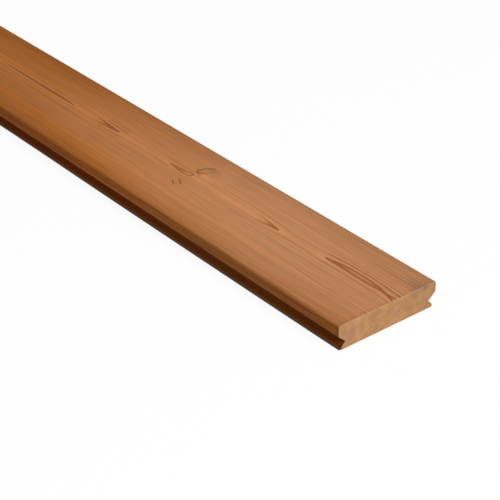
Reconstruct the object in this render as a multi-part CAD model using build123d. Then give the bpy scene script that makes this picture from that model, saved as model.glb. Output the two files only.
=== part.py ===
"""Heat-treated pine decking board, planed all round, with a clip groove in both long edges.

The board is one sawn and planed piece: a constant section run along the length. It lies flat, top face up.
X runs along the board, Y across it and Z up. The origin is at the middle of the underside.
"""

import os
from math import radians, tan

from build123d import *

# Stock size, in millimetres
board_length = 2100.0
board_width = 115.0
board_thickness = 26.0

# Clip groove, the same in both edges: an undercut below the full-width nose, and a lip under it.
# Depth and set-back are measured inwards from the nose, heights upwards from the underside.
groove_depth = 8.2
groove_root_height = 7.6
undercut_angle = 41.0  # degrees from level, the face under the nose
lip_slope_angle = 45.0  # degrees from level, the face on top of the lip
lip_setback = 3.7

# Rounded edges left by the planer's cutters, in millimetres
top_edge_radius = 3.0
nose_lower_radius = 4.0
groove_root_radius = 0.8
lip_edge_radius = 0.6


def edge_profile():
    """One half of the section, from the middle of the top face round the edge to the middle of the underside."""
    nose = board_width / 2
    root = nose - groove_depth
    lip = nose - lip_setback
    undercut_start = groove_root_height + groove_depth * tan(radians(undercut_angle))
    lip_top = groove_root_height - (lip - root) * tan(radians(lip_slope_angle))
    corners = [
        ((nose, board_thickness), top_edge_radius),
        ((nose, undercut_start), nose_lower_radius),
        ((root, groove_root_height), groove_root_radius),
        ((lip, lip_top), lip_edge_radius),
        ((lip, 0), lip_edge_radius),
    ]
    route = [(0, board_thickness)] + [corner for corner, _ in corners] + [(0, 0)]
    radii = [radius for _, radius in corners]
    return route, radii


def decking_board():
    """The whole board: both edges mirrored about the middle of the width, run along the length."""
    route, radii = edge_profile()
    with BuildPart() as board:
        with BuildSketch(Plane.YZ):
            with BuildLine() as outline:
                FilletPolyline(*route, radius=radii)
                mirror(outline.line, about=Plane.YZ)
            make_face()
        extrude(amount=board_length / 2, both=True)
    return board.part


os.makedirs("parts", exist_ok=True)
board = decking_board()
export_step(board, "parts/decking_board.step")

size = board.bounding_box().size
print(f"decking_board {size.X:.1f} x {size.Y:.1f} x {size.Z:.1f} mm, section {board.volume / size.X:.1f} mm2")
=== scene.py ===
# %% [markdown]
# # A heat-treated decking board
# This lesson dresses one board of heat-treated pine: planed all round, grooved along both edges for
# hidden clips, and sawn square at its ends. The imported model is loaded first, as a fixed frame in metres:
# X runs along the board, Y across it and Z up. Everything that follows is built where that frame already
# is.

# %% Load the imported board
from math import log, radians, tan

import bmesh
import bpy
from mathutils import Euler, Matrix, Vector


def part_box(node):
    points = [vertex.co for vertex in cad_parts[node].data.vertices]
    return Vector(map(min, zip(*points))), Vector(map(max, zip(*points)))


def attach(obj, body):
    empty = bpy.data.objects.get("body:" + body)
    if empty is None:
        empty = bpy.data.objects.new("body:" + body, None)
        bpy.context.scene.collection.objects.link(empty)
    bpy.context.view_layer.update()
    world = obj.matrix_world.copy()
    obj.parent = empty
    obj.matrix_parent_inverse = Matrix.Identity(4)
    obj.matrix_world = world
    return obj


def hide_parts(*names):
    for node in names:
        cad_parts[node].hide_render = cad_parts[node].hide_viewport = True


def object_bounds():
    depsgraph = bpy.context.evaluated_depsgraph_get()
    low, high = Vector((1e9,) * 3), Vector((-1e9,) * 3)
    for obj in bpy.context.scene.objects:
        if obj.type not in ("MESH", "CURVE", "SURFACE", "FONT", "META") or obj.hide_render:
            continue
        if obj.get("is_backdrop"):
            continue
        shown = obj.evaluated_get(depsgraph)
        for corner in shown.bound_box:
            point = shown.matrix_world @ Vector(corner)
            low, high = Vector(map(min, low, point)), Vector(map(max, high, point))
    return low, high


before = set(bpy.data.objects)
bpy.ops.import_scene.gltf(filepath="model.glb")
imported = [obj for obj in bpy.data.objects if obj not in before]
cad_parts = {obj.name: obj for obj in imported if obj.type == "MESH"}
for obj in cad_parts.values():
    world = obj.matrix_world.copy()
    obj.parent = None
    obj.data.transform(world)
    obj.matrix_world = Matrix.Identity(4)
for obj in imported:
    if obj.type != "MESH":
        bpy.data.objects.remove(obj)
cad_low, cad_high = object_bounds()
MM = 0.001
low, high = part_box("decking_board")
length, width, thickness = high - low
middle = (low + high) / 2
print(f"board: {length / MM:.0f} x {width / MM:.0f} x {thickness / MM:.0f} mm")

# %% [markdown]
# ## The plank before its grooves
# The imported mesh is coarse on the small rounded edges, because its tolerance follows the two-metre
# length. So the board is modelled again at the same size, as a planer would make it: a square plank
# first, then the edges. A cube at the board's size is the plank. Three level cuts mark the heights where
# the edge changes direction.

# %% Saw the plank and mark the edge heights
groove_depth = 8.2 * MM
root_height = 7.6 * MM
undercut_angle = radians(41)
lip_slope_angle = radians(45)
lip_setback = 3.7 * MM
nose_height = root_height + groove_depth * tan(undercut_angle)
lip_height = root_height - (groove_depth - lip_setback) * tan(lip_slope_angle)

bpy.ops.object.select_all(action="DESELECT")
bpy.ops.mesh.primitive_cube_add(size=1, location=middle, scale=(length, width, thickness))
board = bpy.context.object
board.name = "board"
bpy.ops.object.transform_apply(location=True, rotation=True, scale=True)
bpy.ops.object.mode_set(mode="EDIT")
for height in (lip_height, root_height, nose_height):
    bpy.ops.mesh.select_all(action="SELECT")
    bpy.ops.mesh.bisect(plane_co=(0, 0, height), plane_no=(0, 0, 1))
print(f"edge lines at {lip_height / MM:.1f}, {root_height / MM:.1f} and {nose_height / MM:.1f} mm")

# %% [markdown]
# ## The clip grooves
# A spindle cutter shapes both edges in one pass: it leaves the upper part, the nose, at full width, cuts
# a slanting groove under it and sets the lip below a little back. Squeezing the edge lines of the plank
# towards its middle gives the same section: the root line by the groove's depth, the lip's two lines by
# its set-back.

# %% Push the edge lines in
TOUCH = 0.01 * MM
half_width = width / 2


def edges_where(test):
    """Selects the edges whose two ends pass the test, and returns how many there are."""
    bpy.ops.mesh.select_all(action="DESELECT")
    mesh = bmesh.from_edit_mesh(board.data)
    found = [edge for edge in mesh.edges if test(*(end.co for end in edge.verts))]
    for edge in found:
        edge.select_set(True)
    bmesh.update_edit_mesh(board.data)
    return len(found)


def along_line(side, height):
    """A test for edges along the board, this far from its middle on either side and at this height."""
    def on_line(place):
        return abs(abs(place.y) - side) < TOUCH and abs(place.z - height) < TOUCH

    return lambda first, second: on_line(first) and on_line(second) and first.y * second.y > 0


root_side = half_width - groove_depth
lip_side = half_width - lip_setback
for height, side in ((root_height, root_side), (lip_height, lip_side), (0, lip_side)):
    edges_where(along_line(half_width, height))
    bpy.ops.transform.resize(value=(1, side / half_width, 1), center_override=(0, 0, height))
print(f"groove root {root_side / MM:.1f} mm and lip {lip_side / MM:.1f} mm from the middle")

# %% [markdown]
# ## Rounded edges
# Planer knives leave every long edge rounded: generously at the top, where people walk, and at the lower
# edge of the nose, slightly at the lip and in the bottom of the groove. A bevel with several segments
# makes a round corner. Its offset is how far back from the corner the rounding starts: radius times the
# tangent of half the turn.

# %% Round the long edges
top_radius = 3.0 * MM
nose_radius = 4.0 * MM
root_radius = 0.8 * MM
lip_radius = 0.6 * MM
square = radians(90)


def round_selected(offset, segments):
    """Rounds the selected edges, from this far back on both sides of the corner."""
    bpy.ops.mesh.bevel(offset_type="OFFSET", offset=offset, segments=segments, profile=0.5, affect="EDGES")


rounded_edges = (
    (half_width, thickness, top_radius, square, 8),
    (half_width, nose_height, nose_radius, square - undercut_angle, 6),
    (root_side, root_height, root_radius, undercut_angle + lip_slope_angle, 5),
    (lip_side, lip_height, lip_radius, square - lip_slope_angle, 3),
    (lip_side, 0, lip_radius, square, 5),
)
for side, height, rounding, turn, segments in rounded_edges:
    edges_where(along_line(side, height))
    round_selected(rounding * tan(turn / 2), segments)
print(f"{len(bmesh.from_edit_mesh(board.data).faces)} faces after rounding")

# %% [markdown]
# ## The sawn ends
# The level cuts also left lines across the two ends, where the real board has one flat sawn face, so
# those are dissolved. A saw leaves a crisp edge, but never a perfect one: a bevel of half a millimetre
# round each end catches the light as the real arris does. It has to stay smaller than the lip's rounding,
# or its corners would overlap. Cross cuts then divide the long strips into even faces.

# %% Clean the ends, ease their edges and divide the length
half_length = length / 2
arris = 0.55 * MM
arris_segments = 2
flat_within = radians(1)
strips = 20

bpy.ops.mesh.select_all(action="SELECT")
bpy.ops.mesh.dissolve_limited(angle_limit=flat_within)


def round_an_end(first, second):
    """A test for edges whose ends both lie on the same sawn end."""
    on_ends = all(abs(abs(place.x) - half_length) < TOUCH for place in (first, second))
    return on_ends and first.x * second.x > 0


end_edges = edges_where(round_an_end)
round_selected(arris, arris_segments)
for cut in range(1, strips):
    bpy.ops.mesh.select_all(action="SELECT")
    bpy.ops.mesh.bisect(plane_co=(low.x + length * cut / strips, 0, 0), plane_no=(1, 0, 0))
bpy.ops.mesh.select_all(action="SELECT")
bpy.ops.mesh.normals_make_consistent(inside=False)
bpy.ops.object.mode_set(mode="OBJECT")
print(f"{end_edges} end edges eased, {len(board.data.polygons)} faces in all")

# %% [markdown]
# ## One piece of stock
# The board is a single sawn piece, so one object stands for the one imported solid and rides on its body.
# Smooth shading by angle rounds the bevels. Weighted normals then let the large faces decide the shading
# along their borders, so that the top and the sawn ends look flat right up to their edges.

# %% Tie the board to the frame
smooth_below = radians(35)

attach(board, "root")
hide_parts("decking_board")
bpy.ops.object.select_all(action="DESELECT")
board.select_set(True)
bpy.context.view_layer.objects.active = board
bpy.ops.object.shade_smooth_by_angle(angle=smooth_below)
bpy.ops.object.modifier_add(type="WEIGHTED_NORMAL")
flatness = board.modifiers[-1]
flatness.keep_sharp = True
bpy.ops.object.modifier_apply(modifier=flatness.name)
print("board rides on root")

# %% [markdown]
# ## Sums as nodes
# Wood is a solid pattern: the flames on the face, the arcs on the end and the lines on the sides are one
# set of growth rings, cut by different planes. That takes a fair amount of arithmetic, which is hard to
# follow as a web of Math nodes, so a small class wraps a node's output and lets Python's own signs add
# the nodes.

# %% A wire that can be reckoned with
MIX_FACTOR, MIX_FIRST, MIX_SECOND, MIX_RESULT = 0, 6, 7, 2


def plug(socket, value):
    """Links a wire to a socket, or sets a plain value on it."""
    if isinstance(value, Wire):
        socket.id_data.links.new(value.socket, socket)
    else:
        socket.default_value = value


def draw_curve(mapping, points):
    """Draws a curve node's line through points, level past both ends."""
    mapping.extend = "HORIZONTAL"
    line = mapping.curves[0].points
    line[0].location, line[1].location = points[0], points[-1]
    for point in points[1:-1]:
        line.new(*point)
    mapping.update()


class Wire:
    """An output of a node. Sums on it add Math nodes, so a formula in Python becomes a chain of nodes."""

    def __init__(self, socket):
        self.socket = socket

    def node(self, kind, settings, values, output=0):
        """Adds a node to the same tree: its settings first, then its sockets' values or wires."""
        tree = self.socket.id_data
        made = tree.nodes.new(kind)
        for name, setting in settings.items():
            if name == "points":
                draw_curve(made.mapping, setting)
            else:
                setattr(made, name, setting)
        for name, value in values.items():
            plug(made.inputs[name], value)
        return Wire(made.outputs[output])

    def output(self, name):
        return Wire(self.socket.node.outputs[name])

    def math(self, operation, *others):
        return self.node("ShaderNodeMath", {"operation": operation}, dict(enumerate((self, *others))))

    def vector(self, operation, *others, output=0):
        values = dict(enumerate((self, *others)))
        return self.node("ShaderNodeVectorMath", {"operation": operation}, values, output)

    def scaled(self, factor):
        return self.node("ShaderNodeVectorMath", {"operation": "SCALE"}, {0: self, "Scale": factor})

    def smooth(self, start, end):
        """0 up to start, 1 from end on, and an easy curve between."""
        return self.node("ShaderNodeMapRange", {"interpolation_type": "SMOOTHSTEP"},
                         {"Value": self, "From Min": start, "From Max": end})

    def fade(self, start, end):
        """1 up to start, 0 from end on, and an easy curve between."""
        return 1 - self.smooth(start, end)

    def blend(self, first, second, kind="MIX"):
        """Mixes two colours, with this wire as the share of the second."""
        settings = {"data_type": "RGBA", "blend_type": kind}
        return self.node("ShaderNodeMix", settings,
                         {MIX_FACTOR: self, MIX_FIRST: first, MIX_SECOND: second}, MIX_RESULT)

    def __add__(self, other):
        return self.math("ADD", other)

    def __sub__(self, other):
        return self.math("SUBTRACT", other)

    def __rsub__(self, other):
        return self.node("ShaderNodeMath", {"operation": "SUBTRACT"}, {0: other, 1: self})

    def __mul__(self, other):
        return self.math("MULTIPLY", other)

    def __truediv__(self, other):
        return self.math("DIVIDE", other)

    __radd__ = __add__
    __rmul__ = __mul__


pine = bpy.data.materials.new("heat_treated_pine")
pine.use_nodes = True
surface = Wire(pine.node_tree.nodes["Principled BSDF"].outputs["BSDF"])
board.data.materials.append(pine)
print("material started:", pine.name)

# %% [markdown]
# ## The heart of the tree
# This board was sawn close to the heart: the tree's middle ran about 12 mm above the top face and a
# little right of its centre line. It wandered, as every trunk does, and each time it came nearer, the saw
# cut through one more growth ring and left a dark pointed flame. Two drawn curves give its height
# above the face and its distance from the left side, in millimetres, against the distance from the near
# end. Past the drawn stretch a slow noise carries the wander on.

# %% Place every point in the tree
heart_height = ((0, 12.5), (5, 12.8), (13, 12.9), (19, 12.82), (28, 12.6), (50, 12.42), (65, 12.58),
                (92, 13.0), (125, 13.9), (152, 13.0), (165, 12.75), (195, 11.9), (215, 11.45),
                (250, 11.5), (280, 11.7), (284, 11.5), (287, 11.2), (288.5, 10.9), (290, 10.62),
                (293, 10.4), (297, 10.55), (301, 10.67), (306, 10.79), (311, 10.93), (318, 11.05),
                (325, 11.12), (337, 11.3), (365, 11.5), (405, 11.13), (418, 10.92), (430, 10.7),
                (441, 10.52), (464, 9.9), (488, 9.5), (520, 9.3), (560, 9.35), (700, 9.7))
heart_side = ((0, 64), (7, 65), (13, 65.4), (28, 66.9), (50, 67.1), (92, 64.8), (125, 64.5), (152, 63.4),
              (195, 63.6), (275, 64.5), (286, 65.6), (291, 65.4), (295, 64.9), (304, 63.7), (325, 63.9),
              (490, 63), (700, 63.5))
drawn_until = (600, 820)
wander_length = 210
wander_rise = 7
wander_sideways = 0.8
trunk_side = 64.5
bend_reach = (2, 22)


def drawn(along, points):
    """A wire that follows a curve drawn through (along, value) points."""
    start, span = points[0][0], points[-1][0] - points[0][0]
    values = [value for _, value in points]
    least, reach = min(values), max(values) - min(values)
    line = [((at - start) / span, (value - least) / reach) for at, value in points]
    share = along.node("ShaderNodeFloatCurve", {"points": line}, {"Value": (along - start) / span})
    return share * reach + least


def grain_noise(where, along, across, detail=2.0):
    """Noise drawn out along the grain, from -0.5 to 0.5; along and across are its sizes in millimetres."""
    squeezed = where.vector("DIVIDE", (along, across, across))
    noise = where.node("ShaderNodeTexNoise", {}, {"Vector": squeezed, "Scale": 1.0, "Detail": detail})
    return noise - 0.5


place = surface.node("ShaderNodeTexCoord", {}, {}, "Object").scaled(1 / MM)
x = place.node("ShaderNodeSeparateXYZ", {}, {"Vector": place}, "X")
y, z = x.output("Y"), x.output("Z")
from_end = half_length / MM - x
from_side = y + half_width / MM
below_top = thickness / MM - z

slow_values = {"W": from_end / wander_length, "Scale": 1.0}
slow = from_end.node("ShaderNodeTexNoise", {"noise_dimensions": "1D"}, slow_values)
wander = (slow - 0.5) * wander_rise * from_end.smooth(*drawn_until)
beside_trunk = from_side - trunk_side
bend = drawn(from_end, heart_side) - trunk_side + wander * wander_sideways
beside_heart = beside_trunk - bend * beside_trunk.math("ABSOLUTE").fade(*bend_reach)
below_heart = below_top + drawn(from_end, heart_height) + wander
radius = (beside_heart * beside_heart + below_heart * below_heart).math("SQRT")
print("heart line drawn through", len(heart_height), "points")

# %% [markdown]
# ## Knots
# A branch grows out of the heart, outwards and up the trunk, and the rings bulge round it. A knot is the
# cut through that branch. Each one is a straight round bar here: where its axis meets the top face, the
# way it leans, its radius and how far it runs before it is grown over. The distance from the axis, in
# radii, gives the knot's own wood and its dark bark line, which fades on the side of the near end. A
# stretched distance pushes the rings aside and sets painted shade on the face where the branch leans, and
# paler wood with a painted sheen opposite and in a halo further out.

# %% Grow the branches
knots = (
    {"at": (286.5, 81.5), "lean": (-9, 15, 12.5), "radius": 5.6, "run": 60, "push": 3.2, "wood": 1},
    {"at": (288, 45.8), "lean": (-15.8, -9.5, 8.4), "radius": 3.9, "run": 5, "push": 0.4, "wood": 0},
    {"at": (792, 38), "lean": (-7, -16, 15), "radius": 5.5, "run": 60, "push": 2.8, "wood": 1},
    {"at": (804, 90), "lean": (-6, 15, 16), "radius": 4.2, "run": 60, "push": 2.2, "wood": 1},
    {"at": (1296, 84), "lean": (-6, 13, 18), "radius": 7.0, "run": 60, "push": 3.2, "wood": 1},
    {"at": (1786, 40), "lean": (-6, -15, 16), "radius": 6.0, "run": 60, "push": 3.0, "wood": 1},
    {"at": (1801, 76), "lean": (-7, 9, 18), "radius": 4.6, "run": 60, "push": 2.4, "wood": 1},
)
run_fade = (0.7, 1.1)
grain_stretch = (0.45, 1, 1)
bulge_from = 0.8
bulge_fall = 1.25
bulge_start = (-6, 1)
bark_at = 0.93
bark_width = 0.19
bark_wobble = 0.5
wood_edge = (0.75, 1.05)
bare_near_side = 0.9
far_reach = (-8, 3)
lean_reach = (-3, 4)

in_tree = place.node("ShaderNodeCombineXYZ", {}, {"X": from_end, "Y": from_side, "Z": below_top})
knot_wood, knot_shade, knot_pale_and_sheen, bark_line, push = 0, 0, 0, 0, 0
rough_bark = grain_noise(place, 9, 5) * bark_wobble
for knot in knots:
    axis = Vector(knot["lean"]).normalized()
    offset = in_tree.vector("SUBTRACT", (*knot["at"], 0))
    run = offset.vector("DOT_PRODUCT", axis, output="Value")
    along_axis = {"X": run * axis.x, "Y": run * axis.y, "Z": run * axis.z}
    on_axis = place.node("ShaderNodeCombineXYZ", {}, along_axis)
    away = offset.vector("SUBTRACT", on_axis)
    radii = away.vector("LENGTH", output="Value") / knot["radius"]
    stretched = away.vector("MULTIPLY", grain_stretch)
    swell = stretched.vector("LENGTH", output="Value") / knot["radius"]
    present = run.math("ABSOLUTE").fade(*(knot["run"] * share for share in run_fade))
    past = (swell - bulge_from).math("MAXIMUM", 0)
    bulge = (past * past * -bulge_fall).math("EXPONENT")
    push = push + bulge * run.smooth(*bulge_start) * knot["push"]
    radii = radii + rough_bark
    off_bark = (radii - bark_at) / bark_width
    far_side = offset.vector("DOT_PRODUCT", (1, 0, 0), output="Value").smooth(*far_reach)
    leaning_side = offset.vector("DOT_PRODUCT", (axis.x, axis.y, 0), output="Value").smooth(*lean_reach)
    bark_share = present * (1 - (1 - far_side) * (bare_near_side * knot["wood"]))
    bark_line = bark_line + (off_bark * off_bark * -1).math("EXPONENT") * bark_share
    knot_wood = knot_wood + radii.fade(*wood_edge) * present * knot["wood"]
    # Painted shade where the branch leans; paler wood with a painted sheen opposite and in a halo further
    # out.
    beside_knot = swell.fade(0.9, 2.2) * (1 - far_side) * present * knot["wood"]
    knot_shade = knot_shade + beside_knot * leaning_side * swell.fade(1.0, 1.6)
    halo = swell.smooth(1.1, 1.6) * swell.fade(2.2, 4) * (1 - far_side) * present * knot["wood"]
    knot_pale_and_sheen = knot_pale_and_sheen + beside_knot * (1 - leaning_side) * radii.smooth(0.9, 1.2) * 0.7 + halo * 0.3
print(len(knots), "branches grown")

# %% [markdown]
# ## Growth rings
# Near the heart each ring is 17 percent wider than the last, so a logarithm counts them. Further out they
# keep an even width. The part after the point says how far through the year a place is: pale early wood
# first, then a thin dark band of late wood that ends sharply. Two noises make the rings wavy and their
# edges ragged. Towards the board's sides the grain runs out at a slant, so the lines on the sides slowly
# climb.

# %% Count the rings
first_ring = 13.0
widening = 1.17
even_from = 18.0
even_width = 3.4
ragged_size = 0.22
wave_size = 1.6
run_out_slope = 0.008
run_out_at_end = 0.6
good_years_reach = 8
good_years_gain = 1.6

waves = grain_noise(place, 130, 16) * wave_size * radius.smooth(14, 34)
ragged = grain_noise(place, 34, 1.3) * ragged_size + waves
run_out = beside_trunk.math("ABSOLUTE").smooth(46, 62) * (from_end * run_out_slope + run_out_at_end)
grown = radius - push - run_out + ragged
young = grown.math("MINIMUM", even_from)
older = (grown - even_from).math("MAXIMUM", 0)
year_values = {"W": older / good_years_reach, "Scale": 1.0}
good_years = older.node("ShaderNodeTexNoise", {"noise_dimensions": "1D"}, year_values)
older_years = older / even_width + older.smooth(0, good_years_reach) * good_years * good_years_gain
years = (young / first_ring).math("LOGARITHM", widening) + older_years
season = years.math("FRACT")
to_ring_edge = (1 - season) * young * log(widening)
print(f"rings {first_ring:.0f} mm out are {first_ring * log(widening):.1f} mm wide")

# %% [markdown]
# ## How bold a ring is
# A ring that the saw only just touches shows as a dark, filled tongue. Where it is cut more squarely it
# is a thin line, and far from the heart it fades into the ground. Two more curves say so: one across the
# board, by the distance from the heart, and one along it, because the flames' legs fade behind their
# tips. A noise breaks the outer lines into strokes. The sides cut the rings steeply, so their lines are
# bold again but thin, and near the end the lines beside the heart are broader.

# %% Shade the rings
across_boldness = ((0, 1), (8.5, 1), (10, 0.75), (12, 0.42), (15, 0.3), (24, 0.24), (70, 0.24))
along_boldness = ((0, 1), (85, 1), (102, 0.45), (142, 0.45), (152, 1), (166, 1), (185, 0.6),
                  (225, 0.3), (276, 0.3), (284, 1), (302, 1), (310, 0.9), (328, 0.8), (350, 0.35),
                  (396, 0.35), (405, 1), (438, 1), (462, 0.55), (488, 0.9), (700, 0.9))
late_band = (0.12, 0.55)
late_strength = 0.68
flank = (5, 8)
near_stretch = (80, 105)
tongue_start = (396, 408)
tongue_end = (432, 444)

spread = beside_heart.math("ABSOLUTE")
off_middle = y.math("ABSOLUTE")
on_side = off_middle.smooth(55.5, 57.2)
near_end = from_end.fade(*near_stretch)
left_flank = beside_heart.fade(-3.5, 0) * spread.fade(*flank)
thin_end = from_end.fade(6, 13) * spread.fade(*flank)
broad_lines = near_end * (beside_heart.smooth(*flank) * 1.8 + left_flank * 0.5)
widened = 1 + spread.smooth(9, 25) * 1.2 - on_side * 1.2 - thin_end * 0.5 + broad_lines
late_wood = (to_ring_edge / widened).fade(*late_band)
strokes = (grain_noise(place, 90, 3.0) * 3 + 1).math("MAXIMUM", 0)
broken = 1 - spread.smooth(7, 16) * (1 - strokes)
left_side = (spread - beside_heart).smooth(8, 20) * spread.fade(20, 40)
behind_tips = drawn(from_end, along_boldness)
fading = behind_tips + (1 - behind_tips) * spread.smooth(8, 14)
weight = drawn(spread, across_boldness) * (1 - left_side * 0.5) + on_side * 0.7
boldness = weight * fading * broken
filled_tongue = from_end.smooth(*tongue_start) * from_end.fade(*tongue_end)
filling = season * season * (0.3 + near_end * 0.35 + filled_tongue * 0.6 - spread.smooth(4, 9) * 0.25)
ring_dark = (late_wood * late_strength + filling) * boldness * (1 - knot_pale_and_sheen)
print("rings shaded by", len(across_boldness), "and", len(along_boldness), "points")

# %% [markdown]
# ## Colour
# Heat turns pine brown right through. The face is paler at the near end and deepens along the board, most
# of all at the left, and broad bands and fine fibres run along the grain. The paler, brighter near end is
# partly the wood's tone and partly painted light, for the lamp's fall-off along the board and a sheen
# there.
# The wood about the heart and at the start of each ring is lighter. The long edges get painted shade, most
# of all the right rounding, and the last millimetres by the saw cut are darker. So one sum gives how bright
# a place is, and another how far it is from pale to deep brown. The rounded edges and the sides are painted
# a deeper brown for the shade they lie in, warmer further along.

# %% Mix the wood's ground tone
pale_brown = (0.515, 0.230, 0.100, 1)
deep_brown = (0.455, 0.145, 0.023, 1)
far_side_shade_tint = (1.12, 0.92, 0.48, 1)
# Partly the wood's tone, partly painted light: the lamp's fall-off along the board and a near-end sheen.
light_along = ((0, 0.97), (80, 0.993), (220, 1.05), (340, 1.035), (450, 0.975), (560, 0.895), (700, 0.88))
depth_along = ((0, 0.02), (150, 0.06), (260, 0.23), (370, 0.46), (450, 0.58), (540, 0.76), (700, 0.9))
depth_across = ((0, 0.45), (8, 0.32), (22, 0.15), (34, 0.03), (60, 0), (112, 0))
edge_loss = 0.14
edge_loss_further = 0.06
right_edge_loss = 0.26
saw_cut_loss = 0.09
heart_gain = 0.07
heart_gain_further = 0.05
early_gain = 0.06
knot_gain = 0.19

bands = grain_noise(place, 420, 7.0, 1.0)
stripes = grain_noise(place, 130, 2.8)
streaks = grain_noise(place, 50, 1.4)
fibres = grain_noise(place, 14, 0.35)
dashes = grain_noise(place, 26, 0.9, 0.0).smooth(0.16, 0.28)
# Painted shade along the long edges, strongest on the right rounding; the saw-cut band is just darker.
edge_shade = (off_middle.smooth(28, 60) * (edge_loss + from_end.smooth(0, 250) * edge_loss_further)
              + from_side.smooth(111, 114.5) * right_edge_loss + from_end.fade(1, 7) * saw_cut_loss)
heart_light = grown.fade(12.9, 14.9) * (heart_gain + from_end.smooth(280, 460) * heart_gain_further)
early_light = season.fade(0.1, 0.5) * spread.fade(8, 13) * early_gain
brightness = (drawn(from_end, light_along) + bands * 0.24 + stripes * 0.36 + streaks * 0.34 + fibres * 0.10
              - dashes * 0.10 + heart_light + early_light + knot_pale_and_sheen * knot_gain - edge_shade)
# Painted shade: the rounded edges and the sides get a deeper brown, warmer further on, for their shade.
side_shade_mask = off_middle.smooth(50, 56) * below_top.smooth(0, 3)
deeper = drawn(from_end, depth_along)
right_depth = from_side.smooth(60, 105) * (deeper * 0.5 - 0.18)
left_depth = drawn(from_side, depth_across) * (deeper * 1.6 + 1.1 - from_end.smooth(15, 60) * 0.4)
depth = deeper + left_depth + right_depth + bands * 0.3 + side_shade_mask * 0.65
face = depth.blend(pale_brown, deep_brown).scaled(brightness)
face = (side_shade_mask * from_end.smooth(220, 440)).blend(face, far_side_shade_tint, "MULTIPLY")
print("ground tone drawn through", len(light_along), "and", len(depth_along), "points")

# %% [markdown]
# ## Rings, knots and grooves over the tone
# Late wood, knots, bark lines and the grooves are the same wood, only denser or under painted shade.
# They could have colours of their own, but here they change the ground tone by multiplying it, so the
# colours stay related along the whole board. Well away from the near end, the lower part of the nose gets
# painted light and the groove's painted shade is weaker in its upper half. Close to the end the groove's
# painted shade is darker still.

# %% Lay rings, knots and grooves over the tone
late_tint = (0.54, 0.41, 0.28, 1)
knot_tint = (0.89, 0.96, 0.99, 1)
shade_tint = (0.90, 0.94, 0.98, 1)
bark_tint = (0.50, 0.46, 0.42, 1)
groove_shade_tint = (0.58, 0.38, 0.08, 1)
nose_from = (12, 13.4)
nose_to = (15, 17.5)
nose_gain = 0.3
groove_foot = (0.4, 1.8)
groove_root = (5.2, 6.8)
groove_top = (10.5, 13)
root_gain = 0.35
end_groove_shade_share = 0.6

face = ring_dark.blend(face, late_tint, "MULTIPLY")
face = knot_shade.blend(face, shade_tint, "MULTIPLY")
face = knot_wood.blend(face, knot_tint, "MULTIPLY")
face = bark_line.blend(face, bark_tint, "MULTIPLY")
well_along = from_end.smooth(20, 200)
# Painted light: the lower part of the nose is a little brighter, well away from the near end.
nose_light = off_middle.smooth(54, 56) * z.smooth(*nose_from) * z.fade(*nose_to) * well_along
face = face.scaled(1 + nose_light * nose_gain)
# Painted shade: the grooves get a dark tint, weaker in their upper half along the board, darker near the
# end.
groove_shade_mask = off_middle.smooth(48, 50) * z.fade(*groove_top) * z.smooth(*groove_foot)
root_light = z.smooth(*groove_root) * well_along * root_gain
face = (groove_shade_mask * (1 - root_light)).blend(face, groove_shade_tint, "MULTIPLY")
end_groove_shade = groove_shade_mask * from_end.fade(2, 14) * end_groove_shade_share
face = end_groove_shade.blend(face, groove_shade_tint, "MULTIPLY")
print("late wood, knots, bark lines and grooves laid over the tone")

# %% [markdown]
# ## End grain
# Across the grain the saw opens every fibre, and the wood looks paler, yellower and duller, with the
# rings as faint arcs round the heart. The object's own normal says where that is: along X on the two
# ends. The top few millimetres get a painted highlight, the right corner and the left lip are duller, and
# a grey stain has crept in near the right corner, on the end and on the face alike.

# %% Colour the ends
end_yellow = (0.448, 0.238, 0.098, 1)
end_pink = (0.468, 0.243, 0.119, 1)
end_late_tint = (0.72, 0.66, 0.58, 1)
stain_tint = (0.70, 0.80, 1.0, 1)
stain_place = (4, 97, 1)
stain_size = (17, 11, 6)
stain_strength = 0.9
end_facing = (0.5, 0.8)
top_highlight_gain = 0.09
corner_loss = 0.11
lip_loss = 0.13

normal = surface.node("ShaderNodeTexCoord", {}, {}, "Normal")
lengthwise = normal.node("ShaderNodeSeparateXYZ", {}, {"Vector": normal}, "X").math("ABSOLUTE")
end_on = lengthwise.smooth(*end_facing)
pores = grain_noise(place, 3.0, 0.5)
mottle = grain_noise(place, 40, 8.0, 1.0)
patches = grain_noise(place, 60, 13.0, 1.0).smooth(-0.12, 0.12)
right_corner = from_side.smooth(95, 109)
left_lip = from_side.fade(5, 13) * z.fade(3, 7)
# A painted highlight along the top few millimetres of each sawn end.
end_top_highlight = below_top.fade(1.5, 4) * (1 - right_corner) * top_highlight_gain
end_brightness = (1 + pores * 0.3 + mottle * 0.7 + end_top_highlight
                  - right_corner * corner_loss - left_lip * lip_loss)
ends = patches.blend(end_yellow, end_pink).scaled(end_brightness)
arcs = (1 - radius.smooth(16, 44) * 0.6) * (0.6 + mottle * 2.5)
end_rings = (late_wood * 0.6 + season * season * 0.4) * arcs
ends = end_rings.blend(ends, end_late_tint, "MULTIPLY")
colour = end_on.blend(face, ends)
in_stain = in_tree.vector("SUBTRACT", stain_place).vector("DIVIDE", stain_size)
from_stain = in_stain.vector("LENGTH", output="Value")
stain = (from_stain + mottle + streaks * 0.6).fade(0.1, 1.3) * stain_strength
colour = stain.blend(colour, stain_tint, "MULTIPLY")
print("end grain mixed in")

# %% [markdown]
# ## Feel
# Planed softwood is matt with a slight silk along the dense late wood, and its fibres leave the faintest
# relief. The sawn ends are rougher.

# %% Finish the surface
planed_roughness = 0.66
late_silk = 0.12
sawn_extra = 0.16
sheen_level = 0.07
relief_strength = 0.25
relief_height = 0.15 * MM

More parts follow.
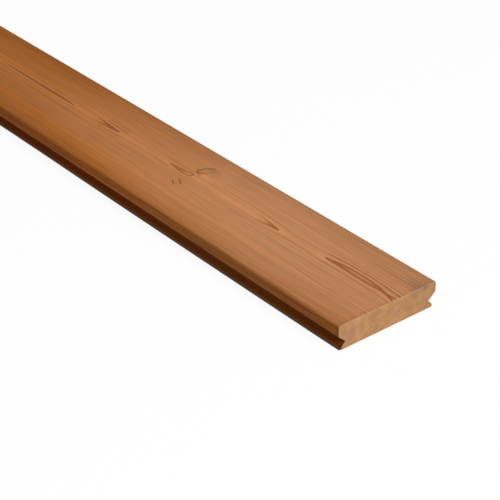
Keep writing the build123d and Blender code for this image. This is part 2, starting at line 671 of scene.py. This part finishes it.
roughness = planed_roughness - ring_dark * late_silk + fibres * 0.10 + end_on * sawn_extra
relief = ring_dark * 0.5 + fibres * 0.6 + streaks * 0.3 + end_on * pores * 1.2
bump_values = {"Strength": relief_strength, "Distance": relief_height, "Height": relief}
bump = place.node("ShaderNodeBump", {}, bump_values)
shader = surface.socket.node
finish = {"Base Color": colour, "Roughness": roughness, "Normal": bump, "Specular IOR Level": sheen_level}
for name, value in finish.items():
    plug(shader.inputs[name], value)
print(len(pine.node_tree.nodes), "nodes in the wood")

# %% [markdown]
# ## Floor
# The board lies on a plain pale floor: one wide square, a hair below the board so that their faces don't
# lie in one plane. It belongs to the studio and not to the part, so it is declared as stage.

# %% Lay the floor
floor_size = 40
floor_drop = 0.5 * MM

bpy.ops.object.select_all(action="DESELECT")
bpy.ops.mesh.primitive_plane_add(size=floor_size, location=(0, 0, -floor_drop))
floor = bpy.context.object
floor.name = "floor"
floor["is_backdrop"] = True
print(f"floor {floor_size} m across")

# %% [markdown]
# ## The floor's paint
# Light Path tells who is looking: to the camera, and to mirror and glass rays, most of the floor is plain
# white light with a little shadow left in it, and to the light that bounces it is a mid grey, so that the
# underside and the shaded edge don't fill up with light. The white light would wash out the narrow dark
# line where the board meets the floor, so a painted shadow, a dark strip beside each lip, keeps it. A curve
# gives the strip's width in millimetres against the distance from the nearer end.

# %% Paint the floor
white = (1, 1, 1, 1)
mid_grey = (0.58, 0.58, 0.58, 1)
white_share = 0.9
painted_shadow_colour = (0.068, 0.039, 0.018, 1)
painted_shadow_width = ((0, 1.4), (60, 1.65), (150, 1.75), (280, 1.65), (400, 1.2), (480, 0.75), (560, 0.65),
               (1050, 0.65))
painted_shadow_edge = (-0.5, 0.5)
painted_shadow_end = (-2.5, -0.5)


def seen(wire):
    """1 for rays that carry a picture to the camera: straight, mirrored or through glass."""
    rays = wire.node("ShaderNodeLightPath", {}, {}, "Is Camera Ray")
    return (rays + rays.output("Is Glossy Ray") + rays.output("Is Transmission Ray")).math("MINIMUM", 1)


paint = bpy.data.materials.new("studio_floor")
paint.use_nodes = True
floor_surface = Wire(paint.node_tree.nodes["Principled BSDF"].outputs["BSDF"])
floor_shader = floor_surface.socket.node
looked_at = seen(floor_surface)
ground = floor_surface.node("ShaderNodeTexCoord", {}, {}, "Object").vector("ABSOLUTE").scaled(1 / MM)
ground_x = ground.node("ShaderNodeSeparateXYZ", {}, {"Vector": ground}, "X")
# A painted shadow: a dark strip beside each lip, where the board meets the floor.
out_from_lip = ground_x.output("Y") - lip_side / MM
past_end = ground_x - half_length / MM
past_painted_shadow = (out_from_lip - drawn(past_end * -1, painted_shadow_width)).smooth(*painted_shadow_edge)
open_floor = past_painted_shadow.math("MAXIMUM", past_end.smooth(*painted_shadow_end))
seen_floor = open_floor.blend(painted_shadow_colour, white)
plug(floor_shader.inputs["Base Color"], looked_at.blend(mid_grey, seen_floor))
plug(floor_shader.inputs["Roughness"], 1.0)
plug(floor_shader.inputs["Specular IOR Level"], 0.0)
glow = floor_surface.node("ShaderNodeEmission", {}, {"Color": seen_floor, "Strength": 1.0})
layers = {0: looked_at * white_share, 1: floor_surface, 2: glow}
lit_floor = floor_surface.node("ShaderNodeMixShader", {}, layers)
plug(paint.node_tree.nodes["Material Output"].inputs["Surface"], lit_floor)
floor.data.materials.append(paint)
print(len(paint.node_tree.nodes), "nodes in the floor's paint")

# %% [markdown]
# ## Camera
# The camera looks down from in front of the near end's left corner, through a long lens, so that the
# edges hardly converge. Its place and turn were worked out from the directions of the board's own edges.

# %% Set up the camera
camera_place = (1.904, -0.850, 0.807)
camera_tilt = radians(58.747)
camera_turn = radians(50.827)
sensor_width = 36
lens_length = 119.5

camera = bpy.data.objects.new("camera", bpy.data.cameras.new("camera"))
bpy.context.scene.collection.objects.link(camera)
camera.location = camera_place
camera.rotation_euler = Euler((camera_tilt, 0, camera_turn))
camera.data.sensor_width = sensor_width
camera.data.lens = lens_length
bpy.context.scene.camera = camera
print(f"camera with a {lens_length} mm lens")

# %% [markdown]
# ## Light
# A soft white studio: one broad lamp in front of the near end, high and a little to the right, lights the
# face and the end and leaves the left edge to the light from the floor. A small, weak lamp behind the far
# end keeps that end from falling dark. A dim white world fills the shadows, and it is full white only
# where the camera looks at it.

# %% Light the board
world_level = 0.24
lamps = (
    {"name": "key_lamp", "place": (3.45, 0.1, 2.6), "target": (1.0, 0, 0), "size": 1.8, "watts": 132},
    {"name": "far_lamp", "place": (-1.9, 0, 0.9), "target": (-1.05, 0, 0), "size": 0.7, "watts": 8},
)

world = bpy.data.worlds.new("studio")
bpy.context.scene.world = world
world.use_nodes = True
sky = Wire(world.node_tree.nodes["Background"].outputs["Background"])
plug(sky.socket.node.inputs["Color"], white)
plug(sky.socket.node.inputs["Strength"], seen(sky) * (1 - world_level) + world_level)


def soft_lamp(name, place, target, size, watts):
    """A square white area lamp that points at a target and that the camera can't see."""
    lamp = bpy.data.objects.new(name, bpy.data.lights.new(name, "AREA"))
    bpy.context.scene.collection.objects.link(lamp)
    lamp.location = place
    lamp.rotation_euler = (Vector(target) - Vector(place)).to_track_quat("-Z", "Y").to_euler()
    lamp.data.size = size
    lamp.data.energy = watts
    lamp.visible_camera = False


for settings in lamps:
    soft_lamp(**settings)
bpy.context.scene.view_settings.view_transform = "Standard"
print(len(lamps), "lamps set")

# %% [markdown]
# ## Sizes
# The dressed board has to keep the imported board's box, so the two boxes are compared and the largest
# difference is printed.

# %% Compare the boxes and finish
new_low, new_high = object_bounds()
apart = max(abs(new - old) for new, old in zip((*new_low, *new_high), (*cad_low, *cad_high)))
print(f"the boxes differ by {apart / MM:.2f} mm at most")
